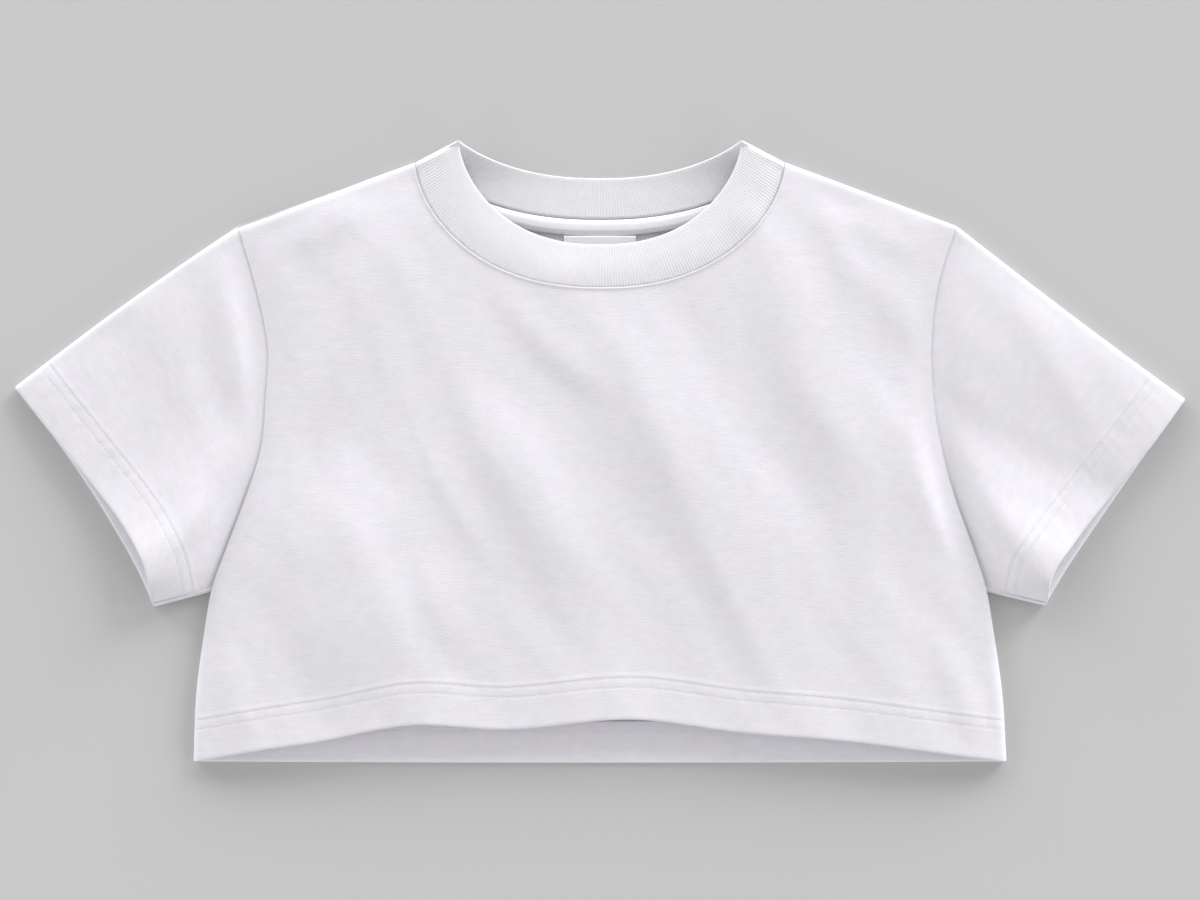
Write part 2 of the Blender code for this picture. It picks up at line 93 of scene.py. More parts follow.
corners = [(x * CARD_HALF, y * CARD_HALF, 0) for x, y in ((-1, -1), (1, -1), (1, 1), (-1, 1))]
card_mesh = bpy.data.meshes.new("card")
card_mesh.from_pydata(corners, [], [(0, 1, 2, 3)])
card = bpy.data.objects.new("card", card_mesh)
bpy.context.scene.collection.objects.link(card)
card_mesh.materials.append(principled("card", CARD_GREY, 0.90)[0])

for name, bearing, strength in FAR_LIGHTS:
    far_light(name, bearing, strength)

room = bpy.data.worlds.new("room")
room.use_nodes = True
room.node_tree.nodes["Background"].inputs["Color"].default_value = (1.0, 1.0, 1.0, 1.0)
room.node_tree.nodes["Background"].inputs["Strength"].default_value = ROOM_LIGHT
bpy.context.scene.world = room

lens = bpy.data.cameras.new("camera")
lens.lens = LENS
lens.sensor_width = SENSOR
camera = bpy.data.objects.new("camera", lens)
camera.location = (0.0, CAMERA_Y, CAMERA_HEIGHT)
bpy.context.scene.collection.objects.link(camera)
bpy.context.scene.camera = camera
bpy.context.scene.view_settings.view_transform = "Standard"

# -------------------------------- the front panel
# One piece of heavy cotton jersey, cut boxy and short. Its hem is turned up inside and held by two rows of
# twin-needle stitching, and the free edge of the hem rides up between the sides and lifts in soft waves.

MM = 0.001
JERSEY = 0.0009
HEM_LAYERS = 0.0018
HEM_DEPTH = 0.025
HEM_STEP = 0.0012  # over which the wall thins above the front's hem and the cuffs
STITCH_ROWS = (0.0190, 0.0250)
ROLL = 0.003  # radius of the soft fold along the sides, the shoulders and the sleeves
SEAM_GAP = 0.0003
SEAM_Z = 0.0032  # level of the side and shoulder seams, halfway up that fold
FRONT_EDGE_Z = 0.0066  # the front just inside that fold
FRONT_RISE = 0.0060  # how much higher the middle of the front is
DOME_SIDE_REACH = 0.035  # how far in from a side it takes to rise
DOME_TOP_REACH = 0.055  # and from the top
DOME_TOP_START = 0.012
LEAST_TOP = -0.010  # the lowest distance from the softened top that counts
NECK_SOFT = 0.012  # how softly the top's line bends at the neck's ends
HEM_LIFT_REACH = 0.050  # how far up from the hem its lift fades
SIDE_CLEAR = 0.020  # how far in from a side the folds have their full height
TOP_CLEAR = 0.012  # and from the top
UNDERARM_REACH = 0.014  # half the way over which the edge drops at the underarm
SIDE_THIN = 0.004  # how far in from a side seam the hem has its full wall
HALF_HEM = 0.2544
HEM_Y = -0.1935
SHOULDER_Y = 0.1410
UNDERARM_Y = -0.0880
NECK_SEAM_HALF = 0.1155
NECK_SEAM_Y = 0.1809
FRONT_SEAM_DROP = 0.0787
BACK_SEAM_DROP = 0.0356
NECK_POWER = 2.3
FRONT_POWER = 1.7
BACK_POWER = 1.1
SHOULDER_SLOPE = 0.371  # fall in y for each step out in x
NECK_RIDGE = 0.0005  # height of the ridge that the seam allowance makes beside the neck seam
NECK_RIDGE_IN = 0.0006  # its distance from that seam
NECK_RIDGE_HALF = 0.0010
NECK_SHARE = 0.27  # the share of the hem, at each side, whose columns run up to a shoulder
HEM_CROWD = 2.2  # radians of the sine that crowds the hem's columns to the sides
SHOULDER_COLUMNS = 56
NECK_COLUMNS = 96
PANEL_ROWS = 131
CREASE_FADE = 0.42  # the share of a crease's length over which each end fades
CREASE_STEPS = 17
RIPPLE = 0.0031  # height of the ripples for their length
RIPPLE_LENGTHS = (0.029, 0.041, 0.057, 0.078, 0.105)
RIPPLE_BEARINGS = (0.15, 0.70)  # radians
RIPPLE_BEND = 1.1  # radians
RIPPLE_BEND_LENGTH = 4.5  # wavelength of the bend for the ripple's own
STITCH_SIDES = 6
STITCH_RINGS = 5
STITCH_TAPER = 0.86  # the share of its girth's square that a stitch loses towards its ends
STITCH_RISE = 0.12  # how far its middle stands over the cloth, for its thickness
STITCH_SINK = 0.5  # how much lower its ends are
STITCH_FLAT = 0.75  # its height for its width
GROOVE = 0.00013  # depth of the groove that a row of stitches makes
GROOVE_HALF = 0.0006
TUNNEL = 0.00007  # rise of the cloth between two rows
TUNNEL_HALF = 0.0020
HEM_RIDGE = 0.00016  # rise of the cloth past the hem's raw edge
HEM_RIDGE_PAST = 0.0018
HEM_RIDGE_HALF = 0.0014
PUCKER = 0.00004
PUCKER_LENGTHS = (0.0061, 0.0083, 0.0117, 0.0170)
PUCKER_LEAN = 0.6  # the most that one leans from square to the edge
PUCKER_HALF = 0.0090  # how far from the rows the puckers reach
PUCKER_LOW = 0.0080  # and the middle of the fainter ones towards the edge
INSIDE_DULL_AND_PAINTED_SHADE = 0.90  # how light the back of the jersey is to its face: partly its duller back, partly painted shade
TURNED_PAINTED_LIGHT = 1.17  # painted light on the clean face that a hem turns to the inside, against the shade that falls there under the layer above

# y, left_x, right_x
BODY_SIDE = (
    (-193.5, -254.4, 254.4), (-150.0, -252.5, 251.6), (-115.0, -248.0, 246.7), (-88.0, -243.3, 242.0),
    (-58.0, -232.6, 232.4), (-30.0, -222.0, 222.2), (0.0, -212.2, 213.8), (34.0, -208.8, 208.3),
    (64.0, -207.4, 206.9), (92.0, -212.2, 209.2), (118.0, -219.2, 214.8), (141.0, -226.3, 223.0),
)
# x, y, lift of the front's free hem edge
FRONT_HEM = (
    (-254.4, -193.5, 0.0), (-215.0, -186.2, 0.8), (-178.0, -180.6, 1.3), (-116.0, -169.6, 2.6),
    (-62.0, -172.4, 1.0), (22.0, -166.1, 3.2), (88.0, -174.3, 1.0), (150.0, -179.3, 2.0),
    (208.0, -186.8, 1.0), (254.4, -193.5, 0.0),
)
# Creases of the front, each along a curve down the garment from its start past its middle to its end. The
# bell across it is left_width wide on its -X side and right_width on its +X side:
# x0, y0, x1, y1, x2, y2, left_width, right_width, height
FRONT_CREASES = (
    (2, 112, 56, -30, 128, -174, 17, 46, 4.2),
    (-98, 44, -47, -33, -4, -142, 15, 33, 3.5),
    (-10, 122, 14, 40, 44, -60, 13, 22, 1.3),
    (90, 182, 128, 60, 190, -84, 20, 26, 3.4),
    (154, 68, 199, -21, 233, -138, 17, 13, 1.3),
    (146, 138, 178, 95, 212, 46, 12, 15, 1.6),
    (196, 72, 202, 0, 218, -72, 17, 8, 1.7),
    (134, 164, 147, 129, 162, 88, 8, 10, 0.8),
    (-72, 114, -30, 63, 24, 26, 10, 15, 1.3),
    (-118, 26, -91, -30, -56, -88, 8, 14, 1.3),
    (-110, 180, -156, 82, -178, -34, 19, 19, 2.2),
    (-180, 80, -192, -12, -196, -94, 11, 11, 1.1),
    (-184, 14, -152, -80, -124, -180, 46, 36, 4.7),
    (-112, -60, -100, -99, -80, -144, 10, 17, 0.9),
    (204, -100, 224, -149, 238, -186, 10, 12, 1.4),
    (-232, -112, -225, -152, -218, -186, 10, 10, 0.8),
    (-214, 121, -170, 140, -124, 154, 12, 10, 0.9),
    (126, 151, 168, 137, 208, 117, 12, 10, 0.9),
)


def table(rows):
    """The rows as an array in metres, one column for each of the table's columns."""
    return np.array(rows, dtype=float) * MM


def smooth(at, knots, values):
    """Cubic Hermite curve through (knots, values), with slopes taken from the neighbouring rows."""
    order = np.argsort(knots)
    k, f = knots[order], values[order]
    slope = np.gradient(f, k)
    i = np.clip(np.searchsorted(k, at) - 1, 0, len(k) - 2)
    span = k[i + 1] - k[i]
    t = np.clip((at - k[i]) / span, 0.0, 1.0)
    rise = f[i + 1] - f[i]
    a = slope[i] * span - rise
    b = rise - slope[i + 1] * span
    return f[i] + rise * t + t * (1 - t) * (a * (1 - t) + b * t)


def soft_step(t):
    """Smooth rise from 0 to 1 as t goes from 0 to 1: 3t^2 - 2t^3."""
    t = np.clip(t, 0.0, 1.0)
    return t * t * (3 - 2 * t)


def quarter_round(distance, reach=ROLL):
    """Height, 0 to 1, on a quarter ellipse: the root of 1 - (1 - distance / reach)^2."""
    return np.sqrt(1 - (1 - np.clip(distance / reach, 0.0, 1.0)) ** 2)


def bump(distance, half_width):
    """A bell, exp(-(distance / half_width)^2)."""
    return np.exp(-((distance / half_width) ** 2))


def neck_curve(angle, half, end_y, drop, power):
    """Half superellipse: x = half sin^(2/2.3), y = end_y - drop cos^(2/power), for -90 to 90 degrees."""
    s, c = np.sin(angle), np.abs(np.cos(angle))
    x = half * np.sign(s) * np.abs(s) ** (2 / NECK_POWER)
    return x, end_y - drop * c ** (2 / power)


def side_x(side, y):
    """The body's outline on one side, at the height y up the garment."""
    rows = table(BODY_SIDE)
    return smooth(y, rows[:, 0], rows[:, 1 if side == "left" else 2])


def crease_height(x, y, creases):
    """Sum of soft ridges and troughs. Each is a bell across its curve, a (1-t)^2 + 2 b t (1-t) + c t^2,
    through three points, unlike on its two sides, and rises, widens and fades again along it."""
    total = np.zeros_like(x)
    t = np.linspace(0, 1, CREASE_STEPS)
    for x0, y0, x1, y1, x2, y2, left_width, right_width, height in table(creases):
        bx, by = 2 * x1 - (x0 + x2) / 2, 2 * y1 - (y0 + y2) / 2
        qx = x0 * (1 - t) ** 2 + 2 * bx * t * (1 - t) + x2 * t ** 2
        qy = y0 * (1 - t) ** 2 + 2 * by * t * (1 - t) + y2 * t ** 2
        nearest, where, width = np.full(x.shape, 9.0), np.zeros(x.shape), np.ones(x.shape)
        for i in range(len(t) - 1):
            step_x, step_y = qx[i + 1] - qx[i], qy[i + 1] - qy[i]
            along = ((x - qx[i]) * step_x + (y - qy[i]) * step_y) / (step_x ** 2 + step_y ** 2)
            along = np.clip(along, 0, 1)
            gap = np.hypot(x - qx[i] - along * step_x, y - qy[i] - along * step_y)
            on_right = step_x * (y - qy[i]) > step_y * (x - qx[i])
            where = np.where(gap < nearest, t[i] + along * t[1], where)
            width = np.where(gap < nearest, np.where(on_right, right_width, left_width), width)
            nearest = np.minimum(gap, nearest)
        fade = soft_step(where / CREASE_FADE) * soft_step((1 - where) / CREASE_FADE)
        total += height * fade * bump(nearest, width * (0.6 + 0.4 * fade))
    return total


def ripples(x, y, seed):
    """Low, uneven waves that lean like the creases: sines, each across its own bearing, and bent by a
    longer sine along it."""
    draw = np.random.default_rng(seed)
    total = np.zeros_like(x)
    for wavelength in RIPPLE_LENGTHS:
        bearing = draw.uniform(*RIPPLE_BEARINGS)
        phase, bend = draw.uniform(0, 2 * math.pi), draw.uniform(0, 2 * math.pi)
        across = x * math.cos(bearing) + y * math.sin(bearing)
        along = y * math.cos(bearing) - x * math.sin(bearing)
        bent = RIPPLE_BEND * np.sin(2 * math.pi * along / (RIPPLE_BEND_LENGTH * wavelength) + bend)
        total += wavelength * np.sin(2 * math.pi * across / wavelength + phase + bent)
    return RIPPLE * total


def hem_relief(distance, along, seed):
    """What the twin needle does to the cloth at this distance in from a turned edge: a groove at each row,
    a low tunnel between them, a ridge just past them, and small puckers that die away from the rows."""
    low, high = STITCH_ROWS
    middle = (low + high) / 2
    grooves = -GROOVE * (bump(distance - low, GROOVE_HALF) + bump(distance - high, GROOVE_HALF))
    tunnel = TUNNEL * bump(distance - middle, TUNNEL_HALF)
    ridge = HEM_RIDGE * bump(distance - high - HEM_RIDGE_PAST, HEM_RIDGE_HALF)
    draw = np.random.default_rng(seed)
    pucker = np.zeros_like(distance)
    for wavelength in PUCKER_LENGTHS:
        phase, lean = draw.uniform(0, 2 * math.pi), draw.uniform(-PUCKER_LEAN, PUCKER_LEAN)
        pucker += np.sin(2 * math.pi * (along + lean * distance) / wavelength + phase)
    reach = bump(distance - middle, PUCKER_HALF) + 0.4 * bump(distance - PUCKER_LOW, PUCKER_LOW)
    return grooves + tunnel + ridge + PUCKER * pucker * reach


def from_edges(x, y):
    """How far a plan point of the body is in from its nearer side, and from its shoulder line."""
    from_side = np.minimum(x - side_x("left", y), side_x("right", y) - x)
    past_neck = np.clip(np.abs(x) - NECK_SEAM_HALF, 0, None)
    from_top = (NECK_SEAM_Y - SHOULDER_SLOPE * past_neck - y) / math.hypot(1, SHOULDER_SLOPE)
    return np.clip(from_side, 0, None), np.clip(from_top, 0, None)


def from_neck(x, y, drop, power):
    """How far a plan point is outside the neck seam: F over the length of its gradient, with the seam's own
    F = (|x| / half)^2.3 + (depth / drop)^power - 1."""
    across = np.abs(x) / NECK_SEAM_HALF
    down = np.maximum(NECK_SEAM_Y - y, 1e-6) / drop
    slope_x = NECK_POWER * across ** (NECK_POWER - 1) / NECK_SEAM_HALF
    slope_y = power * down ** (power - 1) / drop
    return (across ** NECK_POWER + down ** power - 1) / np.hypot(slope_x, slope_y)


def front_height(x, y):
    """Outer face of the front over a plan point: rolled down at its sides and shoulders, domed in between,
    lifted along the hem, ridged along the neck seam, with its creases and ripples."""
    from_side, from_top = from_edges(x, y)
    soft_past = NECK_SOFT * np.logaddexp(0, (np.abs(x) - NECK_SEAM_HALF) / NECK_SOFT)
    soft_top = np.maximum(NECK_SEAM_Y - SHOULDER_SLOPE * soft_past - y, LEAST_TOP)
    hem = table(FRONT_HEM)
    lift = smooth(x, hem[:, 0], hem[:, 2]) * np.exp(-(y - HEM_Y) / HEM_LIFT_REACH)
    at_top = 1 - np.exp(-(soft_top + DOME_TOP_START) / DOME_TOP_REACH)
    dome = (1 - np.exp(-from_side / DOME_SIDE_REACH)) * at_top
    folds = lift + crease_height(x, y, FRONT_CREASES) + ripples(x, y, 5)
    folds = folds * soft_step(from_side / SIDE_CLEAR) * soft_step(from_top / TOP_CLEAR)
    from_seam = from_neck(x, y, FRONT_SEAM_DROP, FRONT_POWER)
    ridge = NECK_RIDGE * bump(from_seam - NECK_RIDGE_IN, NECK_RIDGE_HALF)
    crown = FRONT_EDGE_Z + FRONT_RISE * dome + folds + ridge
    above_underarm = soft_step((y - UNDERARM_Y + UNDERARM_REACH) / (2 * UNDERARM_REACH))
    edge = SEAM_Z + SEAM_GAP + (FRONT_EDGE_Z - SEAM_Z - SEAM_GAP) * above_underarm
    z = edge + (crown - edge) * quarter_round(from_side, ROLL * (2 - above_underarm))
    low = SEAM_Z + SEAM_GAP
    return low + (z - low) * quarter_round(from_top)


def rim_steps(count=7, reach=ROLL):
    """Distances in from a rolled edge at even angles of its quarter circle: reach (1 - cos)."""
    return reach * (1 - np.cos(np.linspace(0, math.pi / 2, count)))


def panel_plan(hem, drop, power):
    """The grid of a body panel: each column is a straight line from the hem up to the shoulder or the neck
    seam, bent to the sides' outline by a share that falls from 1 at the side to 0 at the neck's end. Rows
    crowd at the hem and at the top."""
    crowd = rim_steps() / (2 * HALF_HEM)
    shoulder = np.linspace(crowd[-1], NECK_SHARE, SHOULDER_COLUMNS)
    neck = np.linspace(NECK_SHARE, 1 - NECK_SHARE, NECK_COLUMNS)
    u = np.concatenate([crowd[:-1], shoulder, neck[1:-1], 1 - shoulder[::-1], 1 - crowd[:-1][::-1]])
    hem_x, hem_y = hem(HALF_HEM * np.sin(HEM_CROWD * (u - 0.5)) / math.sin(HEM_CROWD / 2))
    angle = np.clip((u - 0.5) / (0.5 - NECK_SHARE), -1, 1) * math.pi / 2
    top_x, top_y = neck_curve(angle, NECK_SEAM_HALF, NECK_SEAM_Y, drop, power)
    for side, out in (("left", 1 - u / NECK_SHARE), ("right", (u - 1 + NECK_SHARE) / NECK_SHARE)):
        on = np.clip(out, 0, 1)
        top_x = top_x + (side_x(side, np.full_like(u, SHOULDER_Y)) - top_x) * on
        top_y = np.where(on > 0, NECK_SEAM_Y + (SHOULDER_Y - NECK_SEAM_Y) * on, top_y)
    length = np.hypot(top_x - hem_x, top_y - hem_y)
    low = hem_rows() / length
    high = 1 - rim_steps()[::-1][:, None] / length
    share = np.linspace(0, 1, PANEL_ROWS)[1:-1, None]
    v = np.vstack([low, low[-1] + (high[0] - low[-1]) * share, high])
    x = hem_x + (top_x - hem_x) * v
    y = hem_y + (top_y - hem_y) * v
    for side, rim, near in (("left", 0, 1 - u / NECK_SHARE), ("right", -1, 1 - (1 - u) / NECK_SHARE)):
        straight = hem_x[rim] + (top_x[rim] - hem_x[rim]) * v
        x = x + (side_x(side, HEM_Y + (SHOULDER_Y - HEM_Y) * v) - straight) * np.clip(near, 0, 1)
    return x, y, v * length


def hem_rows():
    """Distances in from a turned edge to the grid's first rows: below, between, above and at its
    stitches."""
    below, between = np.arange(0, 0.0180, 0.0016), np.arange(0.0205, 0.0240, 0.0010)
    above = 0.0266 + np.arange(5) * 0.0008
    close = np.array([-0.0009, -0.00045, 0.0, 0.00045, 0.0009])
    rows = np.concatenate([below, between, above] + [close + row for row in STITCH_ROWS])
    return np.sort(rows)[:, None]


def front_hem(x):
    """The front's free hem edge over x."""
    rows = table(FRONT_HEM)
    return x, smooth(x, rows[:, 0], rows[:, 1])


def grid_normals(points, ring):
    """Unit normals of a grid of points: the cross product of its differences across and along."""
    if ring:
        across = np.roll(points, -1, axis=1) - np.roll(points, 1, axis=1)
    else:
        across = np.gradient(points, axis=1)
    along = np.gradient(points, axis=0)
    normal = np.cross(across, along)
    return normal / np.maximum(np.linalg.norm(normal, axis=-1, keepdims=True), 1e-12)


def height_normals(height, x, y, step=0.0002):
    """Unit normals of the surface z = height(x, y), from its differences over twice the step."""
    slope_x = (height(x + step, y) - height(x - step, y)) / (2 * step)
    slope_y = (height(x, y + step) - height(x, y - step)) / (2 * step)
    normal = np.stack([-slope_x, -slope_y, np.ones_like(x)], axis=-1)
    return normal / np.linalg.norm(normal, axis=-1, keepdims=True)


def cloth(name, outer, wall, finish, flat, ring=False, facing=1, edge_steps=4, lean=None, turned=None):
    """A closed wall of cloth. The outer face is the grid of points, the inner face is the same grid moved
    in by the wall, and the first row's edge is a half round of the wall's own thickness. flat holds each
    column's and row's place on the cut cloth, in metres, as the UV map. A ring's last column joins its
    first; otherwise the two sides are closed by quads between the faces. lean gives the normals where the
    face has relief. turned is true where the cloth is turned up. The inner face carries a shade that
    multiplies its colour: painted light where the cloth is turned up, against the shade that falls there
    under the layer above, and elsewhere a darker tone, partly the jersey's duller back and partly painted
    shade."""
    normal = grid_normals(outer, ring) * facing if lean is None else lean
    wall = np.broadcast_to(wall, outer.shape[:2])[..., None]
    inner = outer - normal * wall
    out = outer[0] - outer[1]
    out = out / np.linalg.norm(out, axis=-1, keepdims=True)
    turn = np.linspace(math.pi, 0, edge_steps + 2)[1:-1, None, None]
    centre = (outer[0] + inner[0]) / 2
    edge = centre + wall[0] / 2 * (np.cos(turn) * normal[0] + np.sin(turn) * out)
    points = np.concatenate([inner[::-1], edge, outer])
    rows, columns = points.shape[:2]
    last = columns if ring else columns - 1
    r, c = np.meshgrid(np.arange(rows), np.arange(last), indexing="ij")
    r2, c2 = (r + 1) % rows, (c + 1) % columns
    faces = np.stack([r * columns + c, r * columns + c2, r2 * columns + c2, r2 * columns + c], axis=-1)
    faces = faces.reshape(-1, 4)
    across, along = flat
    along = np.concatenate([along[::-1], np.repeat(along[:1], edge_steps, axis=0), along])
    across = np.concatenate([across[::-1], np.repeat(across[:1], edge_steps, axis=0), across])
    if ring:
        girth = across[:, -1:] + (across[:, -1:] - across[:, -2:-1])
        across = np.concatenate([across, girth], axis=1)
        along = np.concatenate([along, along[:, :1]], axis=1)
    corner = [(r, c), (r, c + 1), (r2, c + 1), (r2, c)]
    place = np.stack([np.stack([across[i, j], along[i, j]], axis=-1) for i, j in corner], axis=2)
    place = place.reshape(-1, 4, 2)
    if not ring:
        i = np.arange(rows // 2 - 1)
        far = rows - 1 - i
        for column, turn_round in ((0, True), (columns - 1, False)):
            cap = np.stack([i, i + 1, far - 1, far], axis=-1)
            if turn_round:
                cap = cap[:, ::-1]
            faces = np.concatenate([faces, cap * columns + column])
            spot = np.stack([across[cap, column], along[cap, column]], axis=-1)
            place = np.concatenate([place, spot])
    if facing < 0:
        faces, place = faces[:, ::-1], place[:, ::-1]
    mesh = bpy.data.meshes.new(name)
    mesh.from_pydata(points.reshape(-1, 3).tolist(), [], faces.tolist())
    uv = mesh.uv_layers.new(name="cut")
    uv.data.foreach_set("uv", place.reshape(-1).astype(np.float32))
    # Painted light and shade on the inner face: lighter where the cloth is turned up, darker elsewhere
    shade = np.ones((rows, columns))
    if turned is not None:
        shade[:len(inner)] = np.where(turned, TURNED_PAINTED_LIGHT, INSIDE_DULL_AND_PAINTED_SHADE)[::-1]
    shades = mesh.attributes.new("shade", "FLOAT", "POINT")
    shades.data.foreach_set("value", shade.reshape(-1).astype(np.float32))
    mesh.materials.append(finish)
    mesh.shade_smooth()
    made = bpy.data.objects.new(name, mesh)
    bpy.context.scene.collection.objects.link(made)
    return made


def noise_on(tree, place, scale, stretch, detail=2.0):
    """Noise over the cut cloth: scale is grains in a metre, and stretch their length across and along."""
    mapping = tree.nodes.new("ShaderNodeMapping")
    mapping.inputs["Scale"].default_value = (scale / stretch[0], scale / stretch[1], 1.0)
    tree.links.new(place, mapping.inputs["Vector"])
    noise = tree.nodes.new("ShaderNodeTexNoise")
    noise.inputs["Scale"].default_value = 1.0
    noise.inputs["Detail"].default_value = detail
    tree.links.new(mapping.outputs["Vector"], noise.inputs["Vector"])
    return noise.outputs["Fac"]


def tint(tree, colour, value, spread, hue=(1.0, 1.0, 1.0)):
    """The colour times 1 + spread (value - 0.5), with the spread weighted for red, green and blue."""
    ramp = tree.nodes.new("ShaderNodeMix")
    ramp.data_type = "RGBA"
    ramp.blend_type = "MIX"
    low = [1 - spread * h / 2 for h in hue]
    high = [1 + spread * h / 2 for h in hue]
    ramp.inputs["A"].default_value = (*low, 1.0)
    ramp.inputs["B"].default_value = (*high, 1.0)
    tree.links.new(value, ramp.inputs["Factor"])
    times = tree.nodes.new("ShaderNodeMix")
    times.data_type = "RGBA"
    times.blend_type = "MULTIPLY"
    times.clamp_result = False
    times.inputs["Factor"].default_value = 1.0
    tree.links.new(colour, times.inputs["A"])
    tree.links.new(ramp.outputs["Result"], times.inputs["B"])
    return times.outputs["Result"]


def knit(name, colour, roughness, streak):
    """Cotton jersey: the colour times the shade each point carries, which is painted light and painted
    shade on the inner faces of the cloth, with short streaks across the cloth, fainter ones along it, a
    fine mottle, soft blotches between cool and warm white, and a bump of the same grains and of the small
    loops."""
    made, tree, shader = principled(name, colour, roughness)
    place = tree.nodes.new("ShaderNodeUVMap")
    place.uv_map = "cut"
    uv = place.outputs["UV"]
    base = tree.nodes.new("ShaderNodeVectorMath")
    base.operation = "SCALE"
    base.inputs[0].default_value = colour[:3]
    # the shade attribute: painted light on the turned-up hems inside, painted shade on the rest of the
    # inner face
    side = tree.nodes.new("ShaderNodeAttribute")
    side.attribute_name = "shade"
    tree.links.new(side.outputs["Fac"], base.inputs["Scale"])
    across = noise_on(tree, uv, 900.0, (6.0, 1.0))
    along = noise_on(tree, uv, 900.0, (1.0, 7.0))
    mottle = noise_on(tree, uv, 190.0, (1.7, 1.0), 3.0)
    blotch = noise_on(tree, uv, 38.0, (1.4, 1.0), 3.0)
    loops = noise_on(tree, uv, 1500.0, (1.0, 1.6), 1.0)
    shade = tint(tree, base.outputs[0], across, streak)
    shade = tint(tree, shade, along, 0.55 * streak)
    shade = tint(tree, shade, loops, 0.5 * streak)
    shade = tint(tree, shade, mottle, 4.5 * streak)
    shade = tint(tree, shade, blotch, 0.030, (1.0, 0.1, 0.4))
    tree.links.new(shade, shader.inputs["Base Color"])
    heights = tree.nodes.new("ShaderNodeMath")
    heights.operation = "ADD"
    tree.links.new(across, heights.inputs[0])
    tree.links.new(loops, heights.inputs[1])
    relief = tree.nodes.new("ShaderNodeBump")
    relief.inputs["Strength"].default_value = 0.35
    relief.inputs["Distance"].default_value = 0.00025
    tree.links.new(heights.outputs[0], relief.inputs["Height"])
    tree.links.new(relief.outputs["Normal"], shader.inputs["Normal"])
    shader.inputs["Sheen Weight"].default_value = 0.08
    shader.inputs["Sheen Roughness"].default_value = 0.6
    return made


def stitches(name, path, up, finish, pitch=0.0029, length=0.0021, thick=0.00042):
    """Rows of stitches along paths of points, with up the cloth's normals there. Each stitch is a short
    thread whose height falls as 1 - t^2 from its middle to both ends."""
    every_point, every_face, count = [], [], 0
    for points, normals in zip(path, up):
        run = np.concatenate([[0], np.cumsum(np.linalg.norm(np.diff(points, axis=0), axis=1))])
        starts = np.arange(pitch / 2, run[-1] - length, pitch)
        t = np.linspace(-1, 1, STITCH_RINGS)
        at = starts[:, None] + length * (t + 1) / 2
        middle = np.stack([np.interp(at, run, points[:, i]) for i in range(3)], axis=-1)
        normal = np.stack([np.interp(at, run, normals[:, i]) for i in range(3)], axis=-1)
        forward = middle[:, -1:] - middle[:, :1]
        forward = forward / np.linalg.norm(forward, axis=-1, keepdims=True)
        sideways = np.cross(forward, normal)
        girth = thick / 2 * np.sqrt(1 - STITCH_TAPER * t ** 2)
        angle = np.linspace(0, 2 * math.pi, STITCH_SIDES + 1)[:-1]
        centre = middle + normal * (thick * (STITCH_RISE - STITCH_SINK * t ** 2))[:, None]
        ring = (
            centre[:, :, None]
            + sideways[:, :, None] * (girth[:, None] * np.cos(angle))[..., None]
            + normal[:, :, None] * (STITCH_FLAT * girth[:, None] * np.sin(angle))[..., None]
        )
        every_point.append(ring.reshape(-1, 3))
        stitch, k, a = np.meshgrid(
            np.arange(len(starts)), np.arange(STITCH_RINGS - 1), np.arange(STITCH_SIDES), indexing="ij"
        )
        here = count + (stitch * STITCH_RINGS + k) * STITCH_SIDES
        after = here + STITCH_SIDES
        b = (a + 1) % STITCH_SIDES
        every_face += np.stack([here + a, here + b, after + b, after + a], axis=-1).reshape(-1, 4).tolist()
        heads = count + np.arange(len(starts))[:, None] * STITCH_RINGS * STITCH_SIDES
        heads = heads + np.arange(STITCH_SIDES)[::-1]
        every_face += heads.tolist() + (heads[:, ::-1] + (STITCH_RINGS - 1) * STITCH_SIDES).tolist()
        count += ring.size // 3
    mesh = bpy.data.meshes.new(name)
    mesh.from_pydata(np.concatenate(every_point).tolist(), [], every_face)
    mesh.materials.append(finish)
    mesh.shade_smooth()
    made = bpy.data.objects.new(name, mesh)
    bpy.context.scene.collection.objects.link(made)
    return made


def row_on(points, normals, distance, at):
    """The line on a grid at a given distance in from its first row, read between the grid's rows, and the
    normals there. distance holds the grid's own distances."""
    column = np.arange(points.shape[1])
    after = (distance < at).sum(axis=0)
    low, high = distance[after - 1, column], distance[after, column]
    share = ((at - low) / (high - low))[:, None]
    return [grid[after - 1, column] * (1 - share) + grid[after, column] * share
            for grid in (points, normals)]


def sewn_rows(name, points, normals, distance, columns, at_rows, *sizes):
    """Rows of stitches over these columns of a grid, at these distances in from its first row."""
    lines = [row_on(points[:, columns], normals[:, columns], distance[:, columns], at) for at in at_rows]
    return stitches(name, [line[0] for line in lines], [line[1] for line in lines], thread, *sizes)


def hem_wall(x, y, distance, depth, step):
    """The wall of a body panel: two layers up to the hem's depth, one above it, thinned over the step, and
    one along the side seams."""
    single = JERSEY - HEM_LAYERS
    wall = HEM_LAYERS + single * soft_step((distance - depth) / step + 0.5)
    from_side = np.minimum(x - side_x("left", y), side_x("right", y) - x)
    return JERSEY + (wall - JERSEY) * soft_step(from_side / SIDE_THIN)


jersey = knit("jersey", (0.752, 0.736, 0.781, 1.0), 0.92, 0.030)
thread = principled("thread", (0.79, 0.78, 0.81, 1.0), 0.70)[0]

front_x, front_y, front_in = panel_plan(front_hem, FRONT_SEAM_DROP, FRONT_POWER)
front_z = front_height(front_x, front_y) + hem_relief(front_in, front_x, 11)
front_points = np.stack([front_x, front_y, front_z], axis=-1)
front_wall = hem_wall(front_x, front_y, front_in, HEM_DEPTH, HEM_STEP)
front_lean = height_normals(front_height, front_x, front_y)
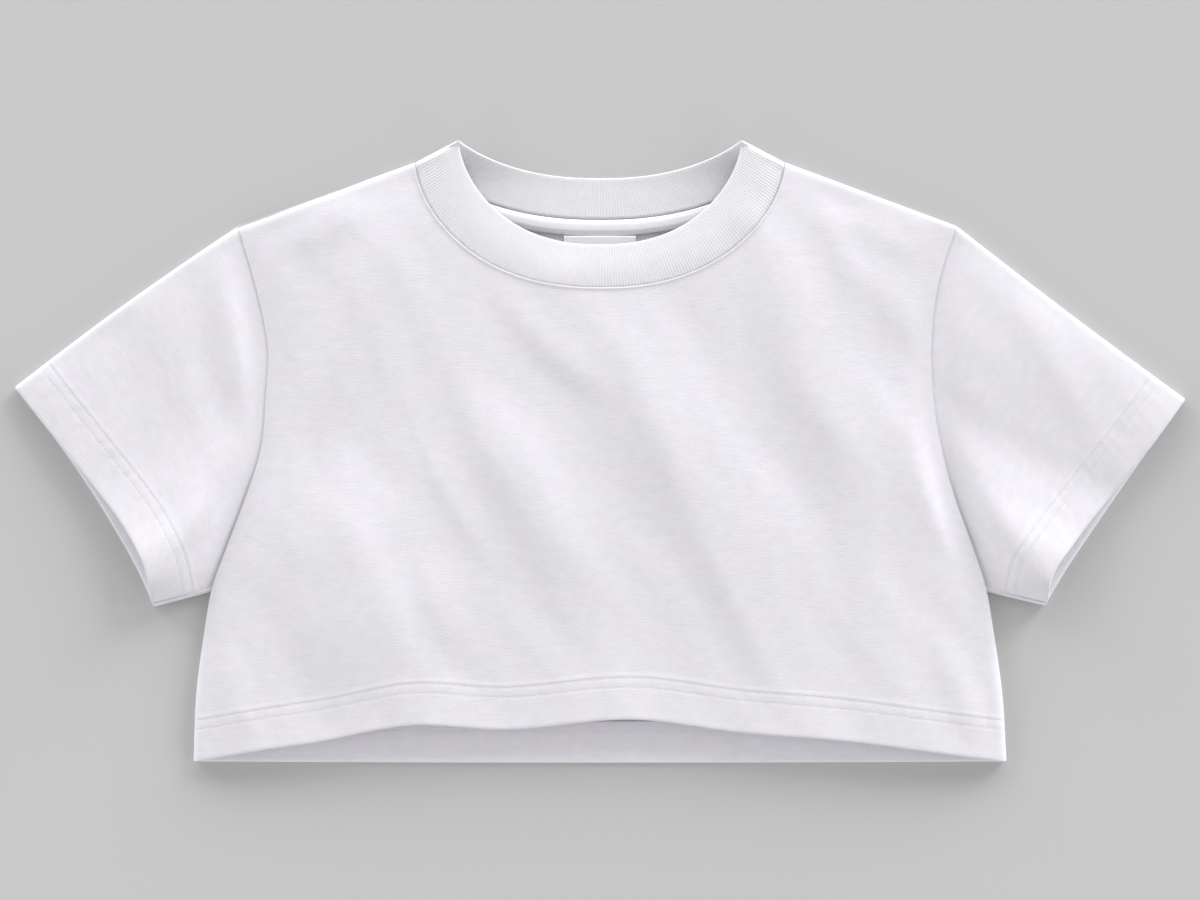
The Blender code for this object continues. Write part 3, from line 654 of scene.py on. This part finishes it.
# Its inner hem is painted lighter, and the rest of its inner face darker, through the shade attribute
front = cloth(
    "front_panel", front_points, front_wall, jersey, (front_x, front_y), lean=front_lean,
    turned=front_in < HEM_DEPTH,
)

clear_of_sides = slice(9, -9)
front_stitches = sewn_rows(
    "front_stitches", front_points, grid_normals(front_points, False), front_in, clear_of_sides, STITCH_ROWS
)

for piece in (front, front_stitches):
    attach(piece, "root")
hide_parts("front")

# -------------------------------- the back panel
# The back is cut like the front, with a shallow neck. It lies flat on the sheet, and only its inside shows,
# above the hem and below the neck. There, the hem has the two rows of the stitch that covers its raw edge.

BACK_HEM_DIP = 0.0008
BACK_UNDERARM_REACH = 0.030  # over which the side's roll ends above the underarm
COVER_DEPTH = 0.0010  # how far the cover stitch holds the raw edge above the hem's depth
COVER_STEP = 0.0008


def back_height(x, y):
    """Outer, lower face of the back: flat, and rolled up to the side and shoulder seams."""
    from_side, from_top = from_edges(x, y)
    below_underarm = 1 - soft_step((y - UNDERARM_Y) / BACK_UNDERARM_REACH)
    side = below_underarm * (1 - quarter_round(from_side))
    return (SEAM_Z - SEAM_GAP) * np.maximum(side, 1 - quarter_round(from_top))


def back_hem(x):
    """The back's hem edge over x, almost straight."""
    return x, HEM_Y - BACK_HEM_DIP * np.cos(x / HALF_HEM * math.pi / 2)


back_x, back_y, back_in = panel_plan(back_hem, BACK_SEAM_DROP, BACK_POWER)
relief = np.clip(-hem_relief(back_in, back_x, 23), 0, None)
back_z = back_height(back_x, back_y) + 0.5 * relief
back_points = np.stack([back_x, back_y, back_z], axis=-1)
back_wall = hem_wall(back_x, back_y, back_in, HEM_DEPTH + COVER_DEPTH, COVER_STEP) - relief
back_lean = -height_normals(back_height, back_x, back_y)
# Its inner hem is painted lighter, and the rest of its inner face darker, through the shade attribute
back = cloth(
    "back_panel", back_points, back_wall, jersey, (back_x, back_y), facing=-1, lean=back_lean,
    turned=back_in < HEM_DEPTH,
)

inside = back_points.copy()
inside[..., 2] += back_wall
inside_normals = np.zeros_like(inside)
inside_normals[..., 2] = 1.0
back_stitches = sewn_rows("back_stitches", inside, inside_normals, back_in, clear_of_sides, STITCH_ROWS)
for piece in (back, back_stitches):
    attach(piece, "root")
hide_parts("back")

# -------------------------------- the sleeves
# Each sleeve is one piece of the same jersey, folded along its top and seamed under the arm. Its cuff is
# turned up like the hem. High on the arm it meets the body at a tight seam, and lower down it comes out
# from under the body's rolled edge.

CUFF_WIDTH = 0.163
UNDERARM_ROLL = 0.0069
SHOULDER_REACH = 0.008  # how far from the shoulder a tucked edge comes out to the seam
UNDERARM_CLEAR = 0.006  # and from the underarm
TUCK = 0.0006  # how far the sleeve's edge goes in under the body's, high up
LOW_TUCK = 0.0040  # and low down
UNDER_EDGE = 0.0006  # how far its face lies below the body's there, high up
LOW_EDGE = 0.0022  # and low down
JOIN_REACH = 0.015  # how far from the armhole the sleeve takes to reach its own height
CORNER_REACH = 0.012  # and how much further near the underarm
TUCK_START = 0.025  # y below which the sleeve goes in deeper, over TUCK_FADE
TUCK_FADE = 0.080
CORNER_START = 0.110  # above the underarm, where the reach starts to grow, over CORNER_FADE
CORNER_FADE = 0.080
SEAM_GROOVE = 0.0022  # depth of the line that the underarm seam makes
SEAM_GROOVE_IN = 0.0032
SEAM_GROOVE_HALF = 0.0007
SLEEVE_COLUMNS = 92  # of each half, between its rolled edges
UNDERARM_STEPS = 19
SLEEVE_ROWS = 50
ARMHOLE_ROWS = (0.0040, 0.0028, 0.0018, 0.0010, 0.0005, 0)  # distances from the armhole
UNSEWN_COLUMNS = (7, 12)  # at the folded top and at the underarm
SLEEVE_CLEAR = 0.012  # how far in from its folds a sleeve's creases have their full height
TOP_BOW = {"left": 0.0018, "right": -0.0010}  # how far the folded top bows out
SLEEVE_SEEDS = {"left": (8, 31), "right": (9, 37)}  # of its ripples and of its puckers
# y, front_x, back_x from the folded top to the underarm
CUFFS = {
    "left": (
        (40.9, -365.6, -365.6), (12.0, -342.4, -343.5), (-18.0, -318.0, -322.4),
        (-48.0, -295.0, -303.6), (-74.0, -281.4, -289.0), (-97.0, -278.6, -278.6),
    ),
    "right": (
        (33.4, 365.6, 365.6), (4.0, 343.6, 344.8), (-26.0, 319.6, 323.8),
        (-54.0, 296.8, 304.6), (-77.0, 280.6, 289.4), (-96.5, 278.0, 278.0),
    ),
}
# Share of the way from the folded top to the underarm, and the height there over the body's edge
SLEEVE_CROWN = {
    "left": (
        (0.00, 0.0), (0.12, 1.2), (0.30, 1.9), (0.48, 2.8), (0.64, 6.2), (0.80, 11.0), (0.90, 10.4),
        (1.00, 4.0),
    ),
    "right": (
        (0.00, 0.0), (0.10, 2.0), (0.22, 3.0), (0.38, 2.2), (0.48, 1.3), (0.62, 4.6), (0.80, 10.4),
        (0.90, 9.8), (1.00, 4.0),
    ),
}
# x0, y0, x1, y1, x2, y2, left_width, right_width, height
SLEEVE_CREASES = {
    "left": (
        (-238, 130, -228, 70, -221, -5, 9, 8, 1.6),
        (-222, 122, -214, 76, -211, 26, 6, 6, -1.8),
        (-250, 106, -243, 38, -228, -24, 11, 11, -0.9),
    ),
    "right": (
        (256, 116, 281, 63, 316, 10, 14, 26, 1.4),
        (214, 120, 213, 76, 213, 30, 5, 5, -0.4),
    ),
}


def sleeve_grid(side):
    """Rings of points round a sleeve, from the cuff to the armhole, with each point's distances in from the
    cuff and down from the folded top. A ring starts at that top, goes over the front to the underarm and
    back under. Each point lies on a straight line from the armhole to the cuff."""
    cuff = table(CUFFS[side])
    ripple_seed, pucker_seed = SLEEVE_SEEDS[side]
    sign = -1 if side == "left" else 1
    armhole = SHOULDER_Y - UNDERARM_Y
    over_top = rim_steps() / armhole
    under_arm = 1 - rim_steps(UNDERARM_STEPS, UNDERARM_ROLL)[::-1] / armhole
    between = np.linspace(over_top[-1], under_arm[0], SLEEVE_COLUMNS)
    half = np.concatenate([over_top[:-1], between, under_arm[1:]])
    ring = np.concatenate([half, half[-2:0:-1]])
    is_back = np.arange(len(ring)) >= len(half)

    armhole_y = SHOULDER_Y + (UNDERARM_Y - SHOULDER_Y) * ring
    clear = soft_step((SHOULDER_Y - armhole_y) / SHOULDER_REACH)
    clear = clear * soft_step((armhole_y - UNDERARM_Y) / UNDERARM_CLEAR)
    low_down = soft_step((TUCK_START - armhole_y) / TUCK_FADE)
    tucked = clear * (TUCK + (LOW_TUCK - TUCK) * low_down)
    gap = np.where(is_back, SEAM_GAP, SEAM_GAP * (1 - clear) - tucked)
    armhole_x = side_x(side, armhole_y) + sign * gap
    cuff_y = cuff[0, 0] + (cuff[-1, 0] - cuff[0, 0]) * ring
    front_edge, back_edge = (smooth(cuff_y, cuff[:, 0], cuff[:, i]) for i in (1, 2))
    cuff_x = np.where(is_back, back_edge, front_edge)

    length = np.hypot(cuff_x - armhole_x, cuff_y - armhole_y)
    low = hem_rows() / length
    near = 1 - np.array(ARMHOLE_ROWS)[:, None] / length
    share = np.linspace(0, 1, SLEEVE_ROWS)[1:-1, None]
    out = np.vstack([low, low[-1] + (near[0] - low[-1]) * share, near])
    s = 1 - out
    x = armhole_x + (cuff_x - armhole_x) * s
    y = armhole_y + (cuff_y - armhole_y) * s
    t = np.broadcast_to(ring, s.shape)
    top_normal = np.array([cuff[0, 0] - SHOULDER_Y, -(cuff[0, 1] - armhole_x[0])]) * -sign
    top_normal = top_normal / np.linalg.norm(top_normal)
    bow = TOP_BOW[side] * np.sin(np.pi * s) * (1 - t)
    x = x + top_normal[0] * bow
    y = y + np.abs(top_normal[1]) * bow

    width = armhole + (CUFF_WIDTH - armhole) * s
    hug = quarter_round(t * width) * quarter_round((1 - t) * width, UNDERARM_ROLL)
    rows = np.array(SLEEVE_CROWN[side])
    from_edge = np.minimum(t, 1 - t) * width
    folds = crease_height(x, y, SLEEVE_CREASES[side]) + ripples(x, y, ripple_seed)
    folds = folds * soft_step(from_edge / SLEEVE_CLEAR)
    crown = FRONT_EDGE_Z + smooth(t, rows[:, 0], rows[:, 1] * MM) + folds
    groove = SEAM_GROOVE * bump((1 - t) * width - SEAM_GROOVE_IN, SEAM_GROOVE_HALF)
    free = SEAM_Z + (crown - SEAM_Z) * hug - groove
    inside_y = np.where(is_back, 0, armhole_y)
    under = clear * (UNDER_EDGE + (LOW_EDGE - UNDER_EDGE) * low_down)
    rim_z = front_height(side_x(side, inside_y), inside_y) - under
    rim_hug = quarter_round((1 - ring) * armhole, UNDERARM_ROLL) * quarter_round(ring * armhole)
    rim_z = SEAM_Z + (rim_z - SEAM_Z) * rim_hug
    corner = soft_step((UNDERARM_Y + CORNER_START - armhole_y) / CORNER_FADE)
    joined = 1 - np.exp(-((s * length / (JOIN_REACH + CORNER_REACH * corner)) ** 2))
    front_z = rim_z + (free - rim_z) * joined
    z = np.where(is_back, SEAM_Z * (1 - hug), front_z)
    z = np.where((ring == 0) | (ring == 1), SEAM_Z, z)
    inward = out * length
    relief = hem_relief(inward, t * width, pucker_seed)
    z = np.where(is_back, z + 0.5 * np.clip(-relief, 0, None), z + relief * hug)
    return np.stack([x, y, z], axis=-1), inward, t * width, is_back


for side in ("left", "right"):
    points, inward, across, is_back = sleeve_grid(side)
    facing = 1 if side == "left" else -1
    turned_up = 1 - soft_step((inward - HEM_DEPTH) / HEM_STEP + 0.5)
    girth = np.where(is_back, 2 * CUFF_WIDTH - across, across)
    # Its inner cuff is painted lighter, and the rest of its inner face darker, through the shade attribute
    sleeve = cloth(
        "sleeve_" + side + "_cloth", points, JERSEY + (HEM_LAYERS - JERSEY) * turned_up, jersey,
        (girth, -inward), ring=True, facing=facing, turned=inward < HEM_DEPTH,
    )
    face = slice(UNSEWN_COLUMNS[0], np.count_nonzero(~is_back) - UNSEWN_COLUMNS[1])
    normals = grid_normals(points, True) * facing
    sewn = sewn_rows("sleeve_" + side + "_stitches", points, normals, inward, face, STITCH_ROWS)
    for piece in (sleeve, sewn):
        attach(piece, "root")
    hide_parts("sleeve_" + side)

# -------------------------------- the collar
# A band of one-by-one rib, cut along its wales, joined into a ring, folded double and sewn into the neck.
# It folds over on both shoulders, so the front half lies on top and the back half shows its inside.

NECK_EDGE_HALF = 0.0888
NECK_EDGE_Y = 0.1941
FRONT_EDGE_DROP = 0.0657
BACK_EDGE_DROP = 0.0238
RIB_WALL = 0.0018
WALE = 0.00168
WALE_DEPTH = 0.00017
COLUMNS_A_WALE = 6
WALE_POWER = 0.8
MEAN_GIRTH = 1.12  # the collar's mean girth to its free edge's
RIB_ROWS = 14
RIB_EDGE_Z = 0.0098
RIB_ARCH = 0.0009  # how much it arches between its edges
RIB_EDGE_ROLL = 0.0025  # how much softer than ROLL its fold is at the free edge
RIB_TUCK = 0.0006  # how far its seam goes in under the front panel
UNDER_PANEL = 0.0008  # and how far its face lies below the panel's there
CURVE_POINTS = 2001  # over which a neck curve's length is measured
LEAST_HUG = 0.3  # keeps the panel's rolled edge from being divided by zero at the fold
FOLD_RISE = 0.0065  # how much higher than the seam the collar's fold stands at its free edge
FOLD_REACH = 0.0180  # how far from that fold it takes to lie down again


def even_angles(count, half, end_y, drop, power):
    """Angles that part a neck curve into equal lengths, from the right end to the left, and its length."""
    angle = np.linspace(math.pi / 2, -math.pi / 2, CURVE_POINTS)
    x, y = neck_curve(angle, half, end_y, drop, power)
    run = np.concatenate([[0], np.cumsum(np.hypot(np.diff(x), np.diff(y)))])
    return np.interp(np.linspace(0, run[-1], count), run, angle), run[-1]


def rib_half(drop, edge_drop, power, count):
    """The seam and the free edge of one half of the collar in plan, each parted into equal lengths."""
    seam_angle = even_angles(count, NECK_SEAM_HALF, NECK_SEAM_Y, drop, power)[0]
    edge_angle = even_angles(count, NECK_EDGE_HALF, NECK_EDGE_Y, edge_drop, power)[0]
    seam = np.stack(neck_curve(seam_angle, NECK_SEAM_HALF, NECK_SEAM_Y, drop, power))
    edge = np.stack(neck_curve(edge_angle, NECK_EDGE_HALF, NECK_EDGE_Y, edge_drop, power))
    return seam, edge


def rib_grid():
    """Rings of the collar from its free edge to its seam, each column's place in wales, and each point's
    distance in from the free edge. The front half's seam goes in under the panel's edge."""
    wales = []
    halves = []
    for drop, edge_drop, power in (
        (FRONT_SEAM_DROP, FRONT_EDGE_DROP, FRONT_POWER), (BACK_SEAM_DROP, BACK_EDGE_DROP, BACK_POWER)
    ):
        edge_run = even_angles(2, NECK_EDGE_HALF, NECK_EDGE_Y, edge_drop, power)[1]
        columns = int(round(edge_run / WALE * MEAN_GIRTH)) * COLUMNS_A_WALE + 1
        halves.append(rib_half(drop, edge_drop, power, columns))
        wales.append(np.arange(columns) / COLUMNS_A_WALE)
    seam = np.concatenate([halves[0][0][:, :-1], halves[1][0][:, ::-1][:, :-1]], axis=1)
    edge = np.concatenate([halves[0][1][:, :-1], halves[1][1][:, ::-1][:, :-1]], axis=1)
    wale = np.concatenate([wales[0][:-1], wales[1][:-1]])
    is_back = np.arange(len(wale)) >= len(wales[0]) - 1
    w = np.linspace(0, 1, RIB_ROWS)[:, None]
    width = np.hypot(*(edge - seam))
    seam_fold = NECK_SEAM_Y - seam[1]
    clear = soft_step(seam_fold / SHOULDER_REACH)
    share = 1 + np.where(is_back, -SEAM_GAP, RIB_TUCK * clear - SEAM_GAP * (1 - clear)) / width
    x = edge[0] + (seam[0] - edge[0]) * w * share
    y = edge[1] + (seam[1] - edge[1]) * w * share
    fold_x = NECK_EDGE_HALF + (NECK_SEAM_HALF - NECK_EDGE_HALF) * w
    fold_y = NECK_EDGE_Y + (NECK_SEAM_Y - NECK_EDGE_Y) * w
    from_fold = np.hypot(np.abs(x) - fold_x, y - fold_y)
    fold_z = SEAM_Z + FOLD_RISE * (1 - w)
    seam_hug = np.maximum(quarter_round(seam_fold), LEAST_HUG)
    seam_crown = SEAM_Z + (front_height(seam[0], seam[1]) - SEAM_Z) / seam_hug - UNDER_PANEL * clear
    crown = RIB_EDGE_Z + (seam_crown - RIB_EDGE_Z) * soft_step(w) + RIB_ARCH * np.sin(math.pi * w)
    z_front = fold_z + (crown - fold_z) * quarter_round(from_fold, ROLL + RIB_EDGE_ROLL * (1 - w))
    z_back = fold_z * np.exp(-from_fold / (SEAM_Z + FOLD_REACH * (1 - w)))
    z = np.where(is_back, z_back, z_front)
    return np.stack([x, y, z], axis=-1), wale, w * width


rib_points, wale, rib_in = rib_grid()
rib_normals = grid_normals(rib_points, True)
dip = WALE_DEPTH * (1 - np.abs(np.cos(math.pi * wale)) ** WALE_POWER)
rib_points = rib_points - rib_normals * dip[None, :, None]
rib_finish = knit("rib", (0.786, 0.771, 0.812, 1.0), 0.92, 0.022)
run = np.broadcast_to(wale * WALE, rib_points.shape[:2])
neck_rib = cloth(
    "collar", rib_points, RIB_WALL - 2 * dip, rib_finish, (run, rib_in), ring=True, edge_steps=6,
    lean=rib_normals,
)
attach(neck_rib, "root")
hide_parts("neck_rib")

# -------------------------------- the neck tape
# A narrow strip of jersey, folded at both edges, covers the back neck seam inside. It is sewn down along
# both edges.

TAPE_WIDTH = 0.0100
TAPE_SPAN = math.radians(60)  # half of the neck curve's angle that it covers
TAPE_Z = 0.0022
TAPE_ARCH = 0.0010
TAPE_ROWS = (0.14, 0.86)  # its rows of stitches, as shares of its width
TAPE_GROOVE = 0.0003
TAPE_GROOVE_HALF = 0.06  # as a share of its width
TAPE_PITCH = 0.0026
TAPE_STITCH = 0.0019
TAPE_GRID = (13, 121)  # rows and columns
TRIM_WALL = 0.0006  # of the tape and the label


def tape_grid():
    """The strip under the back neck seam: w runs over its width from its lower edge, and its face is a flat
    arch, (1 - |2w - 1|^3), between the two rows of stitches."""
    angle = np.linspace(-TAPE_SPAN, TAPE_SPAN, TAPE_GRID[1])
    x, y = neck_curve(angle, NECK_SEAM_HALF, NECK_SEAM_Y, BACK_SEAM_DROP, BACK_POWER)
    w = np.linspace(0, 1, TAPE_GRID[0])[:, None]
    y = y - SEAM_GAP - (TAPE_WIDTH - SEAM_GAP) * (1 - w)
    x = np.broadcast_to(x, y.shape)
    arch = 1 - np.abs(2 * w - 1) ** 3
    grooves = sum(bump(w - row, TAPE_GROOVE_HALF) for row in TAPE_ROWS)
    z = TAPE_Z + TAPE_ARCH * arch * np.ones_like(x)
    z = z - TAPE_GROOVE * grooves
    return np.stack([x, y, z], axis=-1), w * TAPE_WIDTH * np.ones_like(x)


tape_points, tape_in = tape_grid()
tape_finish = knit("tape", (0.830, 0.818, 0.850, 1.0), 0.85, 0.020)
tape = cloth("tape", tape_points, TRIM_WALL, tape_finish, (tape_points[..., 0], tape_points[..., 1]))
tape_stitches = sewn_rows(
    "tape_stitches", tape_points, grid_normals(tape_points, False), tape_in, slice(None),
    [row * TAPE_WIDTH for row in TAPE_ROWS], TAPE_PITCH, TAPE_STITCH,
)
for piece in (tape, tape_stitches):
    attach(piece, "root")
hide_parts("neck_tape")

# -------------------------------- the label
# A small woven satin label with turned ends, caught under the lower edge of the tape. Its face is bare.

LABEL_SIZE = (0.0450, 0.0200)
LABEL_RISE = 0.0014  # of its face above the lower side of the plain label
LABEL_BOW = 0.0002
LABEL_GRID = (22, 46)  # rows and columns


def label_grid():
    """A flat strip, x and y even, that bows up in the middle of its free, lower end."""
    low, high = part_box("neck_label")
    x = np.linspace(low[0], high[0], LABEL_GRID[1])[None, :]
    y = np.linspace(low[1], high[1], LABEL_GRID[0])[:, None]
    across = np.sin(math.pi * (x - low[0]) / (high[0] - low[0]))
    z = low[2] + LABEL_RISE + LABEL_BOW * across * (high[1] - y) / LABEL_SIZE[1]
    x, y, z = np.broadcast_arrays(x, y, z)
    return np.stack([x, y, z], axis=-1)


def satin(name, colour):
    """Woven satin: fine diagonal floats as a bump, and a soft gloss."""
    made, tree, shader = principled(name, colour, 0.45)
    place = tree.nodes.new("ShaderNodeUVMap")
    place.uv_map = "cut"
    floats = noise_on(tree, place.outputs["UV"], 2600.0, (4.0, 1.0), 1.0)
    relief = tree.nodes.new("ShaderNodeBump")
    relief.inputs["Strength"].default_value = 0.3
    relief.inputs["Distance"].default_value = 0.0001
    tree.links.new(floats, relief.inputs["Height"])
    tree.links.new(relief.outputs["Normal"], shader.inputs["Normal"])
    return made


label_points = label_grid()
label_finish = satin("label", (0.78, 0.77, 0.79, 1.0))
label = cloth("label", label_points, TRIM_WALL, label_finish, (label_points[..., 0], label_points[..., 1]))
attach(label, "root")
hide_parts("neck_label")
